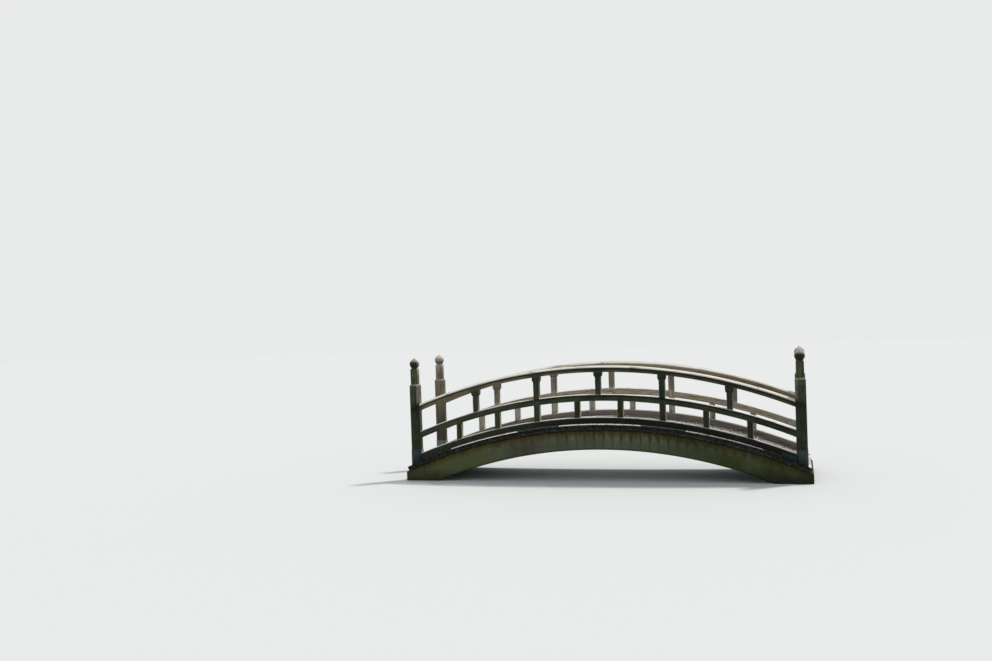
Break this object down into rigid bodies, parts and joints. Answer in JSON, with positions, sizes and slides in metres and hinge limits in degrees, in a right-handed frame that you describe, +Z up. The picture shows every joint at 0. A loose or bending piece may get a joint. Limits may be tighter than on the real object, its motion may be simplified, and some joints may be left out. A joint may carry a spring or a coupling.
{
  "type": "garden moon bridge",
  "caption": "Arched garden footbridge with a cast concrete arch, a curved plank deck and post-and-rail timber railings between newels with turned finials.",
  "frame": {"origin": "on the ground midway between the two feet, at the bottom centre of the whole bridge", "axes": "+X along the bridge, +Y across it to the back railing, +Z up"},
  "size_m": [6.44, 1.59, 2.0107],
  "materials": {
    "concrete": "cast concrete, stained green and brown by algae",
    "deck_boards": "sawn boards, weathered grey, dark and mossy at the ends",
    "railing_timber": "planed timber, weathered grey brown with dark stains",
    "shoe_metal": "sheet copper with a dull blue green patina"
  },
  "bodies": {
    "root": {"concrete_arch": "concrete", "deck_planks": "deck_boards", "front_ground_sill": "railing_timber", "back_ground_sill": "railing_timber", "front_sill_blocks": "railing_timber", "back_sill_blocks": "railing_timber", "front_mid_rail": "railing_timber", "back_mid_rail": "railing_timber", "front_handrail": "railing_timber", "back_handrail": "railing_timber", "front_post_left": "railing_timber", "front_post_right": "railing_timber", "back_post_left": "railing_timber", "back_post_right": "railing_timber", "front_lower_struts": "railing_timber", "back_lower_struts": "railing_timber", "front_upper_strut_left": "railing_timber", "front_upper_strut_centre": "railing_timber", "front_upper_strut_right": "railing_timber", "back_upper_strut_left": "railing_timber", "back_upper_strut_centre": "railing_timber", "back_upper_strut_right": "railing_timber", "front_bearing_blocks": "railing_timber", "back_bearing_blocks": "railing_timber", "front_newel_left": "railing_timber", "front_newel_right": "railing_timber", "back_newel_left": "railing_timber", "back_newel_right": "railing_timber", "front_finial_left": "railing_timber", "front_finial_right": "railing_timber", "back_finial_left": "railing_timber", "back_finial_right": "railing_timber", "front_shoe_left": "shoe_metal", "front_shoe_right": "shoe_metal", "back_shoe_left": "shoe_metal", "back_shoe_right": "shoe_metal"}
  },
  "joints": []
}
